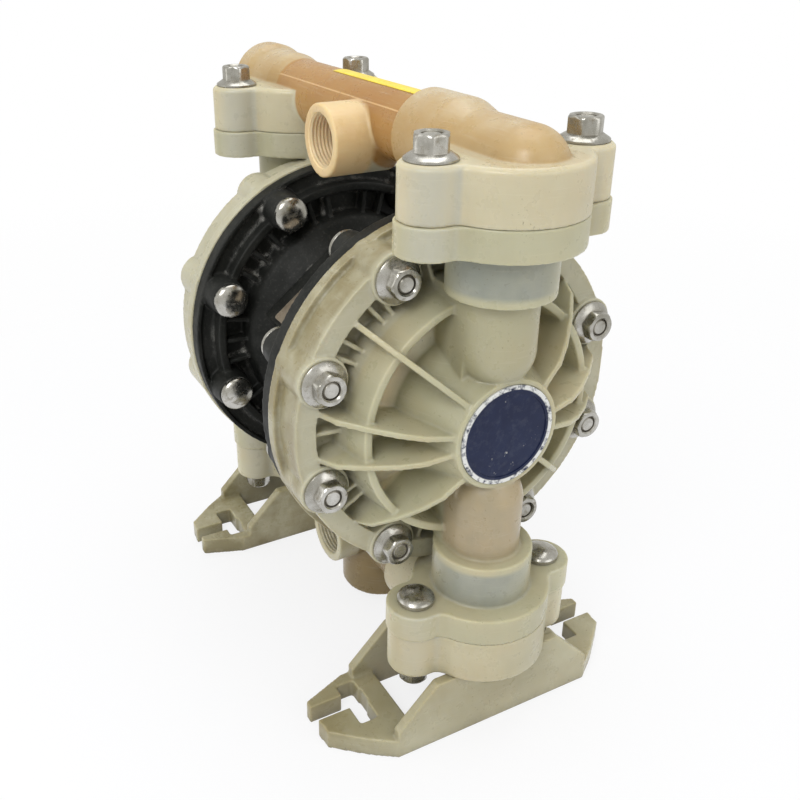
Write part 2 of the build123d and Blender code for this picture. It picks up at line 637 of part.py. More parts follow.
# ==== feet ================================================================
made = {}
for side, name in ((1, "right"), (-1, "left")):
    with BuildPart() as foot:
        # base plate of the foot
        with BuildSketch():
            with BuildLine():
                Polyline(
                    (side * FOOT_OUT_X, 0),
                    (side * FOOT_OUT_X, FOOT_SIDE_Y),
                    (side * (FOOT_OUT_X - 8), 65.5),
                    (side * 94.5, 80),
                    (side * 84, FOOT_TIP_Y),
                    (side * 73, FOOT_TIP_Y),
                    (side * FOOT_IN_X, 58),
                    (side * FOOT_IN_X, -58),
                    (side * 73, -FOOT_TIP_Y),
                    (side * 84, -FOOT_TIP_Y),
                    (side * 94.5, -80),
                    (side * (FOOT_OUT_X - 8), -65.5),
                    (side * FOOT_OUT_X, -FOOT_SIDE_Y),
                    close=True,
                )
            make_face()
        extrude(amount=FOOT_T)
        # side walls up to the flange, cut round the inlet tube
        wall_planes = (side * FOOT_OUT_X, side * (FOOT_IN_X + FOOT_WALL))
        for near_x, tube_r in zip(wall_planes, (TUBE_R, BULGE_R)):
            with BuildSketch(Plane(origin=(near_x, 0, 0), x_dir=(0, 1, 0), z_dir=(1, 0, 0))):
                with BuildLine():
                    Polyline(
                        (FOOT_SIDE_Y, 0),
                        (FOOT_SIDE_Y, FOOT_SHOULDER_Z),
                        (FOOT_TOP_Y, LOW_SEAT),
                        (-FOOT_TOP_Y, LOW_SEAT),
                        (-FOOT_SIDE_Y, FOOT_SHOULDER_Z),
                        (-FOOT_SIDE_Y, 0),
                        close=True,
                    )
                make_face()
                with Locations((0, AXIS_H - TUBE_Z)):
                    Circle(tube_r + FACE_GAP, mode=Mode.SUBTRACT)
            extrude(amount=-side * FOOT_WALL)
        # window and bolt slots
        with BuildSketch():
            with Locations((side * (FOOT_IN_X + FOOT_OUT_X) / 2, 0)):
                Rectangle(FOOT_OUT_X - FOOT_IN_X - 2 * FOOT_WALL, 2 * WINDOW_Y)
            for end in (1, -1):
                with Locations((side * CROSS_SLOT_X, end * (SLOT_END_Y + CROSS_SLOT_W / 2))):
                    Rectangle(CROSS_SLOT_L, CROSS_SLOT_W)
                with Locations((side * SLOT_X, end * (SLOT_END_Y + FOOT_TIP_Y) / 2)):
                    Rectangle(SLOT_W, FOOT_TIP_Y - SLOT_END_Y + 2)
        extrude(amount=FOOT_T, mode=Mode.SUBTRACT)
    foot.part.label = "foot_" + name
    made[foot.part.label] = foot.part

# ==== joint seals =========================================================
with BuildPart() as outlet_joint_seals:
    with BuildSketch(Plane(origin=(0, 0, TOP_JOINT))):
        with Locations((COLUMN_X, 0), (-COLUMN_X, 0)):
            Circle(SEAL_R + SEAL_W / 2)
            Circle(SEAL_R - SEAL_W / 2, mode=Mode.SUBTRACT)
    extrude(amount=SEAL_W)
outlet_joint_seals.part.label = "outlet_joint_seals"

with BuildPart() as inlet_joint_seals:
    with BuildSketch(Plane(origin=(0, 0, LOW_JOINT), z_dir=(0, 0, -1))):
        with Locations((COLUMN_X, 0), (-COLUMN_X, 0)):
            Circle(SEAL_R + SEAL_W / 2)
            Circle(SEAL_R - SEAL_W / 2, mode=Mode.SUBTRACT)
    extrude(amount=SEAL_W)
inlet_joint_seals.part.label = "inlet_joint_seals"

# ==== check valves ========================================================
for name, side, low, ball in (
    ("outlet_{}_right", 1, AXIS_H + SEAT_Z, OUTLET_BALL_Z),
    ("outlet_{}_left", -1, AXIS_H + SEAT_Z, OUTLET_BALL_Z),
    ("inlet_{}_right", 1, LOW_JOINT, INLET_BALL_Z),
    ("inlet_{}_left", -1, LOW_JOINT, INLET_BALL_Z),
):
    with BuildPart() as seat:
        with BuildSketch(Plane(origin=(side * COLUMN_X, 0, low))):
            Circle(VALVE_R - FACE_GAP)
            Circle(SEAT_HOLE_R, mode=Mode.SUBTRACT)
        extrude(amount=SEAT_H)
        chamfer(faces().sort_by(Axis.Z)[-1].inner_wires().edges(), SEAT_CHAMFER)
    seat.part.label = name.format("valve_seat")
    with BuildPart() as sphere:
        with Locations((side * COLUMN_X, 0, ball)):
            Sphere(BALL_R)
    sphere.part.label = name.format("valve_ball")
    made[seat.part.label] = seat.part
    made[sphere.part.label] = sphere.part

# ==== shaft, bushings, diaphragms and their plates ========================
with BuildPart() as diaphragm_shaft:
    end = JOINT_X - HALF_T - CLAMP_T
    with BuildSketch(END_ON.offset(-end)):
        Circle(SHAFT_R)
    extrude(amount=2 * end)
    with BuildSketch(END_ON.offset(-PILOT_W / 2)):
        Circle(SHAFT_R)
        Circle(SHAFT_R - 1.5, mode=Mode.SUBTRACT)
    extrude(amount=PILOT_W, mode=Mode.SUBTRACT)
    tip = JOINT_X + HALF_T + CLAMP_T
    with BuildSketch(END_ON.offset(-tip)):
        Circle(STUD_R)
    extrude(amount=2 * tip)
diaphragm_shaft.part.label = "diaphragm_shaft"

for side, name in ((1, "right"), (-1, "left")):
    with BuildPart() as bushing:
        with BuildSketch(END_ON.offset(side * (CENTRE_X - BUSH_L))):
            Circle(BUSH_R)
            Circle(SHAFT_R + RUN_GAP, mode=Mode.SUBTRACT)
        extrude(amount=side * BUSH_L)
    bushing.part.label = "shaft_bushing_" + name
    with BuildPart() as air_clamp:
        with BuildSketch(SECTION):
            with BuildLine():
                face = JOINT_X - HALF_T
                Polyline(
                    (side * face, STUD_R + RUN_GAP),
                    (side * face, CLAMP_R - 2),
                    (side * (face - 2), CLAMP_R),
                    (side * (face - 4), CLAMP_R),
                    (side * (face - CLAMP_T), CLAMP_R - 6),
                    (side * (face - CLAMP_T), STUD_R + RUN_GAP),
                    close=True,
                )
            make_face()
        revolve(axis=SHAFT_AXIS)
    air_clamp.part.label = "air_side_plate_" + name
    with BuildPart() as liquid_clamp:
        with BuildSketch(SECTION):
            with BuildLine():
                face = JOINT_X + HALF_T
                Polyline(
                    (side * face, STUD_R + RUN_GAP),
                    (side * face, CLAMP_R - 2),
                    (side * (face + 2), CLAMP_R),
                    (side * (face + 3), CLAMP_R),
                    (side * (face + CLAMP_T), LIQUID_HUB_R + 4),
                    (side * (face + CLAMP_T + LIQUID_HUB_T), LIQUID_HUB_R),
                    (side * (face + CLAMP_T + LIQUID_HUB_T), 0),
                    (side * (face + CLAMP_T), 0),
                    (side * (face + CLAMP_T), STUD_R + RUN_GAP),
                    close=True,
                )
            make_face()
        revolve(axis=SHAFT_AXIS)
    liquid_clamp.part.label = "liquid_side_plate_" + name
    with BuildPart() as sheet:
        with BuildSketch(SECTION):
            with BuildLine():
                for edge, lift in ((-HALF_T, 0), (HALF_T, 0)):
                    base = JOINT_X + edge
                    Polyline((side * base, STUD_R + RUN_GAP), (side * base, CLAMP_R + 1))
                    Spline(
                        (side * base, CLAMP_R + 1),
                        (side * (base + CONVOLUTION), (CLAMP_R + CHAMBER_R) / 2),
                        (side * base, CHAMBER_R - 2.5),
                        tangents=((0, 1), (0, 1)),
                    )
                    Line((side * base, CHAMBER_R - 2.5), (side * base, DIAPHRAGM_R))
                for radius in (STUD_R + RUN_GAP, DIAPHRAGM_R):
                    Line(
                        (side * (JOINT_X - HALF_T), radius), (side * (JOINT_X + HALF_T), radius)
                    )
            make_face()
        revolve(axis=SHAFT_AXIS)
    sheet.part.label = "diaphragm_" + name
    for piece in (bushing, air_clamp, liquid_clamp, sheet):
        made[piece.part.label] = piece.part

# ==== air valve ===========================================================
with BuildPart() as spool_sleeve:
    with BuildSketch(SPOOL_AXIS.offset(CAP_T - CENTRE_X)):
        with Locations((SPOOL_OFFSET, -PLATE_SLIP)):
            Circle(SLEEVE_R)
            Circle(SPOOL_R + RUN_GAP, mode=Mode.SUBTRACT)
    extrude(amount=2 * (CENTRE_X - CAP_T))
spool_sleeve.part.label = "spool_sleeve"

with BuildPart() as air_valve_spool:
    with BuildSketch(SPOOL_AXIS.offset(-SPOOL_L / 2)):
        with Locations((SPOOL_OFFSET, -PLATE_SLIP)):
            Circle(SPOOL_R)
    extrude(amount=SPOOL_L)
    for centre in (-SPOOL_L / 4, SPOOL_L / 4):
        with BuildSketch(SPOOL_AXIS.offset(centre - 4)):
            with Locations((SPOOL_OFFSET, -PLATE_SLIP)):
                Circle(SPOOL_R)
                Circle(SPOOL_R - 3, mode=Mode.SUBTRACT)
        extrude(amount=8, mode=Mode.SUBTRACT)
air_valve_spool.part.label = "air_valve_spool"

for side, name in ((1, "right"), (-1, "left")):
    with BuildPart() as cap:
        with BuildSketch(SPOOL_AXIS.offset(side * CENTRE_X)):
            with Locations((SPOOL_OFFSET, -PLATE_SLIP)):
                Circle(SLEEVE_R - FACE_GAP)
        extrude(amount=-side * CAP_T)
    cap.part.label = "spool_cap_" + name
    made[cap.part.label] = cap.part

# ==== fasteners ===========================================================
for side, name in ((1, "right"), (-1, "left")):
    with BuildPart() as bolts:
        with BuildSketch(END_ON.offset(side * HEAD_X)):
            with Locations(*BOLT_POINTS):
                Circle(BOLT_R)
        extrude(amount=side * (NUT_X + NUT_H - TIP - HEAD_X))
        with BuildSketch(END_ON.offset(side * HEAD_X)):
            with Locations(*BOLT_POINTS):
                Circle(HEAD_D / 2)
        extrude(amount=-side * HEAD_H * 0.4)
        with BuildSketch(END_ON.offset(side * (HEAD_X - HEAD_H * 0.4))):
            with Locations(*BOLT_POINTS):
                Circle(HEAD_D / 2)
        extrude(amount=-side * HEAD_H * 0.6, taper=52)
    bolts.part.label = "cover_bolts_" + name
    with BuildPart() as nuts:
        with BuildSketch(END_ON.offset(side * NUT_X)):
            with Locations(*BOLT_POINTS):
                RegularPolygon(NUT_AF / 2, 6, major_radius=False)
        extrude(amount=side * NUT_H)
        with BuildSketch(END_ON.offset(side * NUT_X)):
            with Locations(*BOLT_POINTS):
                Circle(NUT_FLANGE_D / 2)
        extrude(amount=side * NUT_FLANGE_H, taper=25)
        with BuildSketch(END_ON.offset(side * NUT_X)):
            with Locations(*BOLT_POINTS):
                Circle(BOLT_R + RUN_GAP)
        extrude(amount=side * NUT_H, mode=Mode.SUBTRACT)
    nuts.part.label = "cover_nuts_" + name
    made[bolts.part.label] = bolts.part
    made[nuts.part.label] = nuts.part

for up, name in ((1, "outlet"), (-1, "inlet")):
    head = AXIS_H + up * (PORT_FACE_Z - FLANGE_T) + (HEAD_POCKET_D if up > 0 else 0)
    seat_z = AXIS_H + up * (PORT_FACE_Z + MANIFOLD_T)
    toward = (0, 0, up)
    with BuildPart() as bolts:
        with BuildSketch(Plane(origin=(0, 0, head), x_dir=(1, 0, 0), z_dir=toward)):
            with Locations(*COLUMNS):
                Circle(BOLT_R)
        extrude(amount=abs(seat_z - head) + JOINT_NUT_H - TIP)
        with BuildSketch(Plane(origin=(0, 0, head), x_dir=(1, 0, 0), z_dir=toward)):
            with Locations(*COLUMNS):
                Circle(HEAD_D / 2)
        extrude(amount=-HEAD_H * 0.4)
        with BuildSketch(
            Plane(origin=(0, 0, head - up * HEAD_H * 0.4), x_dir=(1, 0, 0), z_dir=toward)
        ):
            with Locations(*COLUMNS):
                Circle(HEAD_D / 2)
        extrude(amount=-HEAD_H * 0.6, taper=52)
    bolts.part.label = name + "_manifold_bolts"
    with BuildPart() as nuts:
        with BuildSketch(Plane(origin=(0, 0, seat_z), x_dir=(1, 0, 0), z_dir=toward)):
            with Locations(*COLUMNS):
                RegularPolygon(NUT_AF / 2, 6, major_radius=False)
        extrude(amount=JOINT_NUT_H)
        with BuildSketch(Plane(origin=(0, 0, seat_z), x_dir=(1, 0, 0), z_dir=toward)):
            with Locations(*COLUMNS):
                Circle(NUT_FLANGE_D / 2)
        extrude(amount=NUT_FLANGE_H, taper=25)
        with BuildSketch(Plane(origin=(0, 0, seat_z), x_dir=(1, 0, 0), z_dir=toward)):
            with Locations(*COLUMNS):
                Circle(BOLT_R + RUN_GAP)
        extrude(amount=JOINT_NUT_H, mode=Mode.SUBTRACT)
    nuts.part.label = name + "_manifold_nuts"
    made[bolts.part.label] = bolts.part
    made[nuts.part.label] = nuts.part

# ==== export ==============================================================
os.makedirs("parts", exist_ok=True)
for piece in (
    liquid_cover_right,
    liquid_cover_left,
    badge,
    air_cover_right,
    air_cover_left,
    centre_housing,
    rating_plate,
    plate_rivets,
    outlet_manifold,
    inlet_manifold,
    outlet_joint_seals,
    inlet_joint_seals,
    diaphragm_shaft,
    spool_sleeve,
    air_valve_spool,
):
    export_step(piece.part, "parts/" + piece.part.label + ".step")
for label, solid in made.items():
    export_step(solid, "parts/" + label + ".step")
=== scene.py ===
import json
import math
import random

import bmesh
import bpy
from mathutils import Matrix, Vector


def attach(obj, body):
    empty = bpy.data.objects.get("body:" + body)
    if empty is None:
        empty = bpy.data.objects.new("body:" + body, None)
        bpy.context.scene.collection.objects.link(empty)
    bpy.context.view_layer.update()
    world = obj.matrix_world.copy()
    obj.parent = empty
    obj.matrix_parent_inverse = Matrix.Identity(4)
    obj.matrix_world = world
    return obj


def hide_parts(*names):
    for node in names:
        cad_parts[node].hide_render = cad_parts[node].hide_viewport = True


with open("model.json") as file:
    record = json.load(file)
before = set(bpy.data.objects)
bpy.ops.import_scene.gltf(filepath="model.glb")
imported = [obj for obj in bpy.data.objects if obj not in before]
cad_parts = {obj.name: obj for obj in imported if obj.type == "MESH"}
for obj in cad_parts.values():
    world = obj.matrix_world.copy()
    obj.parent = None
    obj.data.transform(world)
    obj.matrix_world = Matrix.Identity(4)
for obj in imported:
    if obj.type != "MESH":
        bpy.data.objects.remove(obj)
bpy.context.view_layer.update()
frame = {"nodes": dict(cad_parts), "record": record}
nodes = frame["nodes"]
scene = bpy.context.scene

# ---------------------------------------------------------------- places on the CAD model, in metres
AXIS_H = 0.152  # shaft axis above the floor; the heights below are measured from it, up and down
COLUMN_X = 0.095  # flow columns, and the joints over and under them
COLUMN_Z = (0.024, 0.0605)  # bare column, from the chamber to its collar
COLLAR_Z = (0.0645, 0.0815)  # slate band of the collar, up to the joint flange
LOBE_Y = 0.035  # joint bolts in front of and behind a column
TUBE_Z = 0.1124
TUBE_R = 0.016
TUBE_STEP_X = 0.0385  # where the tube thickens towards its end
SEAM_Z = (0.1217, 0.1222)  # moulding seam along the outlet tube
PORT_Z = 0.1056
PORT_FACE_Y = 0.0335
PORT_BORE_R = 0.01205
BADGE_RING = (0.0211, 0.0240)  # worn silver ring, inner and outer radius

# where the colours change, just past the walls that they follow
LOBE_EDGE_R = 0.0142
COLUMN_EDGE_R = 0.0185
COLLAR_EDGE_R = 0.0235
CHAMBER_EDGE = (0.058, 0.0735)  # radius round the shaft axis, and distance from the pump's middle
PLATEAU_EDGE = (0.0585, 0.0745)
RIM_EDGE = (0.0795, 0.071)
TUBE_END_X = -0.088
TUBE_EDGE_R = 0.0206
FLANGE_X = 0.064
FLANGE_TOP_Z = 0.1170
SCUFFED_HIGHLIGHT_Z = 0.1262
PORT_EDGE_R = 0.0175
PORT_EDGE_Y = -0.0145
INLET_EDGE_R = 0.0215
BOSS_EDGE_R = 0.0225
BOSS_TOP = 0.05  # above the floor

COVER_BOLT_CIRCLE = 0.0735
COVER_BOLT_ANGLES = (20.3, 61.3, 118.7, 159.7, 200.3, 241.3, 298.7, 339.7)
COVER_NUT_X = 0.0737
COVER_HEAD_X = 0.0308
COVER_BOLT_LENGTH = 0.0503
JOINT_NUT_Z = 0.1168
JOINT_NUT_H = 0.0098
# which way the bolts point, the seat of their heads and their length
JOINTS = {"outlet": (1, 0.0876, 0.0384), "inlet": (-1, 0.082, 0.0440)}

# ---------------------------------------------------------------- node helpers


class Tree:
    """A small wrapper that makes shader nodes and links them."""

    def __init__(self, name):
        self.mat = bpy.data.materials.new(name)
        self.mat.use_nodes = True
        self.t = self.mat.node_tree
        self.t.nodes.clear()
        self.out = self.t.nodes.new("ShaderNodeOutputMaterial")
        self.bsdf = self.t.nodes.new("ShaderNodeBsdfPrincipled")
        self.t.links.new(self.bsdf.outputs[0], self.out.inputs[0])
        self.coord = self.t.nodes.new("ShaderNodeTexCoord").outputs["Object"]

    def put(self, socket, value):
        if isinstance(value, bpy.types.NodeSocket):
            self.t.links.new(value, socket)
        elif isinstance(value, (tuple, list)) and len(value) == 3 and len(socket.default_value) == 4:
            socket.default_value = (*value, 1)
        else:
            socket.default_value = value

    def set(self, **kw):
        for k, v in kw.items():
            self.put(self.bsdf.inputs[k.replace("_", " ")], v)

    def noise(self, scale, detail=3, rough=0.55, at=None):
        n = self.t.nodes.new("ShaderNodeTexNoise")
        n.inputs["Scale"].default_value = scale
        n.inputs["Detail"].default_value = detail
        n.inputs["Roughness"].default_value = rough
        self.put(n.inputs["Vector"], at or self.coord)
        return n.outputs[0]

    def mapped(self, scale=(1, 1, 1), turn=(0, 0, 0), move=(0, 0, 0)):
        n = self.t.nodes.new("ShaderNodeMapping")
        n.inputs["Scale"].default_value = scale
        n.inputs["Rotation"].default_value = turn
        n.inputs["Location"].default_value = move
        self.put(n.inputs["Vector"], self.coord)
        return n.outputs[0]

    def ramp(self, value, low, high, a=0.0, b=1.0):
        n = self.t.nodes.new("ShaderNodeMapRange")
        n.clamp = True
        self.put(n.inputs["Value"], value)
        n.inputs["From Min"].default_value = low
        n.inputs["From Max"].default_value = high
        n.inputs["To Min"].default_value = a
        n.inputs["To Max"].default_value = b
        return n.outputs[0]

    def math(self, op, a, b=0.0):
        n = self.t.nodes.new("ShaderNodeMath")
        n.operation = op
        self.put(n.inputs[0], a)
        self.put(n.inputs[1], b)
        return n.outputs[0]

    def mix(self, fac, a, b):
        n = self.t.nodes.new("ShaderNodeMix")
        n.data_type = "RGBA"
        self.put(n.inputs["Factor"], fac)
        self.put(n.inputs["A"], a)
        self.put(n.inputs["B"], b)
        return n.outputs["Result"]

    def ao(self, distance):
        """below 1 in corners that are narrower than distance"""
        n = self.t.nodes.new("ShaderNodeAmbientOcclusion")
        n.samples = 6
        n.inputs["Distance"].default_value = distance
        return n.outputs["AO"]

    def facing(self):
        """0 where the surface faces the eye, 1 at its outline"""
        n = self.t.nodes.new("ShaderNodeLayerWeight")
        n.inputs["Blend"].default_value = 0.5
        return n.outputs["Facing"]

    def axis(self, name):
        n = self.t.nodes.new("ShaderNodeSeparateXYZ")
        self.put(n.inputs[0], self.coord)
        return n.outputs[name]

    def radius(self, a, a0, b, b0):
        """distance in the plane of two axes from a centre"""
        return self.length(self.math("SUBTRACT", self.axis(a), a0), self.math("SUBTRACT", self.axis(b), b0))

    def length(self, a, b):
        return self.math("SQRT", self.math("ADD", self.math("MULTIPLY", a, a), self.math("MULTIPLY", b, b)))

    def bump(self, height, strength=0.3, distance=0.0002):
        n = self.t.nodes.new("ShaderNodeBump")
        n.inputs["Strength"].default_value = strength
        n.inputs["Distance"].default_value = distance
        self.put(n.inputs["Height"], height)
        return n.outputs[0]


def inside(t, value, edge, soft):
    """1 below the edge, fading to 0 above it"""
    return t.ramp(value, edge - soft, edge + soft, 1.0, 0.0)


def beyond(t, value, edge, soft):
    """0 below the edge, fading to 1 above it"""
    return t.ramp(value, edge - soft, edge + soft)


def between(t, value, low, high, soft):
    """1 where value is between low and high, fading over soft"""
    return t.math("MULTIPLY", beyond(t, value, low, soft), inside(t, value, high, soft))


def product(t, *factors):
    """all factors multiplied"""
    value = factors[0]
    for f in factors[1:]:
        value = t.math("MULTIPLY", value, f)
    return value


def blend_by_noise(t, scale, a, b, detail=3, rough=0.5, low=0.35, high=0.65):
    """one colour turning into another in soft patches"""
    return t.mix(t.ramp(t.noise(scale, detail, rough), low, high), a, b)


# ---------------------------------------------------------------- materials
# brown of the grime specks, and of the painted shade in corners
GRIME_AND_SHADE = (0.10, 0.08, 0.04)


def milky(name, light, dark, warm, tint, spots=0.5, corner_shade=0.45):
    """translucent polypropylene, stained and specked, with painted shade tinted like grime in its corners"""
    t = Tree(name)
    broad = t.ramp(t.noise(14, 4, 0.6), 0.35, 0.68)
    mid = t.ramp(t.noise(60, 5, 0.65), 0.35, 0.7)
    col = t.mix(broad, light, dark)
    blots = t.ramp(t.noise(22, 3, 0.5, t.mapped(move=(3, 1, 2))), 0.45, 0.75)
    col = t.mix(t.math("MULTIPLY", blots, 0.6), col, warm)
    col = t.mix(t.math("MULTIPLY", mid, 0.22), col, dark)
    col = tint(t, col)
    # painted shade in the corners, tinted like grime and broken up by noise
    corner = t.ramp(t.ao(0.007), 0.35, 0.95, 1.0, 0.0)
    broken = t.ramp(t.noise(240, 5, 0.7), 0.3, 0.62)
    grime_and_shade = t.math("MULTIPLY", corner, t.math("ADD", t.math("MULTIPLY", broken, 0.55), 0.2))
    col = t.mix(t.math("MULTIPLY", grime_and_shade, corner_shade), col, GRIME_AND_SHADE)
    # small dark specks and smears
    speck = t.ramp(t.noise(900, 2, 0.5), 0.66, 0.72)
    patch = t.ramp(t.noise(45, 3, 0.5, t.mapped(move=(7, 2, 5))), 0.5, 0.66)
    col = t.mix(product(t, speck, patch, spots), col, GRIME_AND_SHADE)
    scratch = t.ramp(t.noise(60, 2, 0.4, t.mapped(scale=(1, 1, 22), turn=(0.3, 0.5, 0.2))), 0.62, 0.7)
    col = t.mix(t.math("MULTIPLY", scratch, 0.06), col, (0.8, 0.78, 0.68))
    rough = t.ramp(t.noise(150, 4, 0.6), 0.3, 0.7, 0.22, 0.42)
    rough = t.math("ADD", rough, t.math("MULTIPLY", grime_and_shade, 0.3))
    t.set(Base_Color=col, Roughness=rough, IOR=1.49)
    t.set(Subsurface_Weight=0.55, Subsurface_Radius=(1.0, 0.85, 0.55), Subsurface_Scale=0.004)
    height = t.math("ADD", t.noise(420, 4, 0.6), t.math("MULTIPLY", scratch, -0.25))
    t.set(Normal=t.bump(height, 0.12, 0.0003))
    return t.mat


def lobe_tint(t, col):
    """the dark bolt and its hole, seen dimly in the middle of each joint lobe"""
    dx = t.math("SUBTRACT", t.math("ABSOLUTE", t.axis("X")), COLUMN_X)
    dy = t.math("SUBTRACT", t.math("ABSOLUTE", t.axis("Y")), LOBE_Y)
    tall = t.math("ABSOLUTE", t.math("SUBTRACT", t.axis("Z"), AXIS_H))
    flange = beyond(t, tall, COLLAR_Z[1], 0.0005)
    lobe = product(t, inside(t, t.length(dx, dy), LOBE_EDGE_R, 0.0006), flange)
    middle = t.ramp(t.facing(), 0.05, 0.4, 1.0, 0.0)
    col = t.mix(product(t, lobe, middle, 0.75), col, (0.46, 0.455, 0.385))
    return t.mix(product(t, lobe, t.ramp(t.facing(), 0.45, 0.8), 0.5), col, (0.64, 0.59, 0.40))


def column_tint(t, col, height, tall, far, near, mottle):
    """the slate band of the collars, and the damp, pinkish lower column"""
    out = t.length(t.axis("Y"), t.math("SUBTRACT", far, COLUMN_X))
    collar = product(t, inside(t, out, COLLAR_EDGE_R, 0.0004), between(t, tall, *COLLAR_Z, 0.0012))
    collar = product(t, collar, t.ramp(t.facing(), 0.3, 0.8, 1.0, 0.25), 0.85)
    slate = t.mix(mottle, (0.24, 0.262, 0.238), (0.32, 0.33, 0.29))
    col = t.mix(collar, col, t.mix(near, (0.33, 0.31, 0.18), slate))
    shaft = product(t, inside(t, out, COLUMN_EDGE_R, 0.0006), between(t, tall, *COLUMN_Z, 0.002))
    low = inside(t, height, 0.0, 0.004)
    damp = t.mix(mottle, (0.40, 0.31, 0.19), (0.33, 0.27, 0.18))
    col = t.mix(product(t, shaft, low, 0.8), col, damp)
    return t.mix(product(t, shaft, t.math("SUBTRACT", 1.0, low), 0.5), col, (0.36, 0.335, 0.215))


def cover_tint(t, col):
    """what shows through the walls of a cover: the columns and the chamber, which is painted pale as light
    shining through it; and painted shade on the rim
    """
    height = t.math("SUBTRACT", t.axis("Z"), AXIS_H)
    far = t.math("ABSOLUTE", t.axis("X"))
    near = beyond(t, t.axis("X"), 0.0, 0.01)
    off = t.radius("Y", 0.0, "Z", AXIS_H)
    mottle = t.ramp(t.noise(70, 4, 0.6), 0.3, 0.7)
    col = column_tint(t, col, height, t.math("ABSOLUTE", height), far, near, mottle)
    edge_r, edge_x = CHAMBER_EDGE
    chamber = product(t, inside(t, off, edge_r, 0.002), inside(t, far, edge_x, 0.0015), 0.9)
    # the diaphragm seen through the wall, painted pale to stand in for light shining through the thin wall
    diaphragm_and_glow = blend_by_noise(t, 26, (0.88, 0.85, 0.68), (0.93, 0.80, 0.58), 2, low=0.4, high=0.62)
    col = t.mix(chamber, col, diaphragm_and_glow)
    edge_r, edge_x = PLATEAU_EDGE
    plateau = product(t, beyond(t, off, edge_r, 0.001), inside(t, far, edge_x, 0.001), 0.75)
    col = t.mix(plateau, col, t.mix(mottle, (0.50, 0.485, 0.38), (0.42, 0.40, 0.29)))
    # painted shade on the wall of the near cover's rim, broken up by noise
    rim_shade_patches = t.ramp(t.noise(90, 4, 0.6), 0.3, 0.6, 0.35, 1.0)
    edge_r, edge_x = RIM_EDGE
    rim_shade = product(t, beyond(t, off, edge_r, 0.001), inside(t, far, edge_x, 0.002), near, rim_shade_patches, 0.85)
    return lobe_tint(t, t.mix(rim_shade, col, (0.24, 0.20, 0.10)))


def manifold_tint(t, col):
    """amber stain of the outlet tube, its paler ends and port, a painted highlight along its scuffed top, and
    the seam along it
    """
    off = t.radius("Y", 0.0, "Z", AXIS_H + TUBE_Z)
    x, z = t.axis("X"), t.axis("Z")
    clear_of_flange = inside(t, t.math("ABSOLUTE", x), FLANGE_X, 0.0008)
    above = t.math("MAXIMUM", beyond(t, z, AXIS_H + FLANGE_TOP_Z, 0.0004), clear_of_flange)
    uneven = t.ramp(t.noise(30, 3, 0.5), 0.2, 0.4, 0.8, 1.0)
    tube = product(t, inside(t, off, TUBE_EDGE_R, 0.0006), above, uneven)
    amber = blend_by_noise(t, 24, (0.36, 0.165, 0.03), (0.41, 0.215, 0.055))
    pale = blend_by_noise(t, 34, (0.43, 0.275, 0.105), (0.48, 0.34, 0.16))
    # painted highlight in scuffed patches along the top of the tube's paler ends
    highlight_patches = t.ramp(t.noise(40, 4, 0.6), 0.35, 0.6)
    scuffed_highlight = product(t, beyond(t, z, AXIS_H + SCUFFED_HIGHLIGHT_Z, 0.004), highlight_patches, 0.6)
    pale = t.mix(scuffed_highlight, pale, (0.62, 0.56, 0.42))
    middle = between(t, x, TUBE_END_X, TUBE_STEP_X, 0.0006)
    col = t.mix(t.math("MULTIPLY", tube, 0.92), col, t.mix(middle, pale, amber))
    off_port = t.radius("X", 0.0, "Z", AXIS_H + PORT_Z)
    forward = inside(t, t.axis("Y"), PORT_EDGE_Y, 0.0015)
    peach = blend_by_noise(t, 60, (0.72, 0.55, 0.30), (0.66, 0.48, 0.25))
    col = t.mix(product(t, inside(t, off_port, PORT_EDGE_R, 0.0005), forward), col, peach)
    bore = inside(t, off_port, PORT_BORE_R + 0.00035, 0.0001)
    col = t.mix(product(t, bore, forward), col, (0.90, 0.70, 0.42))
    line = between(t, z, AXIS_H + SEAM_Z[0], AXIS_H + SEAM_Z[1], 0.0001)
    seam = product(t, line, inside(t, t.axis("Y"), 0.0, 0.001), tube, middle, 0.7)
    return lobe_tint(t, t.mix(seam, col, (0.72, 0.50, 0.26)))


def foot_tint(t, col):
    """the far foot is the dirtier one, and both are worn brown towards their tips"""
    stain = t.ramp(t.noise(38, 5, 0.65), 0.3, 0.6)
    far = inside(t, t.axis("X"), 0.0, 0.01)
    tips = t.ramp(t.math("ABSOLUTE", t.axis("Y")), 0.04, 0.08)
    much = t.math("MAXIMUM", t.math("MULTIPLY", far, 0.8), t.math("MULTIPLY", tips, 0.6))
    return t.mix(product(t, stain, much), col, (0.21, 0.175, 0.075))


def inlet_tint_and_shade(t, col):
    """the brown inlet tube and the boss under it, their amber darkened with painted shade"""
    off = t.radius("Y", 0.0, "Z", AXIS_H - TUBE_Z)
    middle = inside(t, t.math("ABSOLUTE", t.axis("X")), TUBE_STEP_X, 0.001)
    tube = product(t, inside(t, off, INLET_EDGE_R, 0.0008), middle)
    low = inside(t, t.axis("Z"), BOSS_TOP, 0.001)
    boss = product(t, inside(t, t.radius("X", 0.0, "Y", 0.0), BOSS_EDGE_R, 0.0006), low)
    # amber darkened as painted shade, for the tube and boss low under the pump
    amber = blend_by_noise(t, 30, (0.25, 0.165, 0.05), (0.18, 0.12, 0.035))
    return lobe_tint(t, t.mix(t.math("MULTIPLY", t.math("MAXIMUM", tube, boss), 0.92), col, amber))


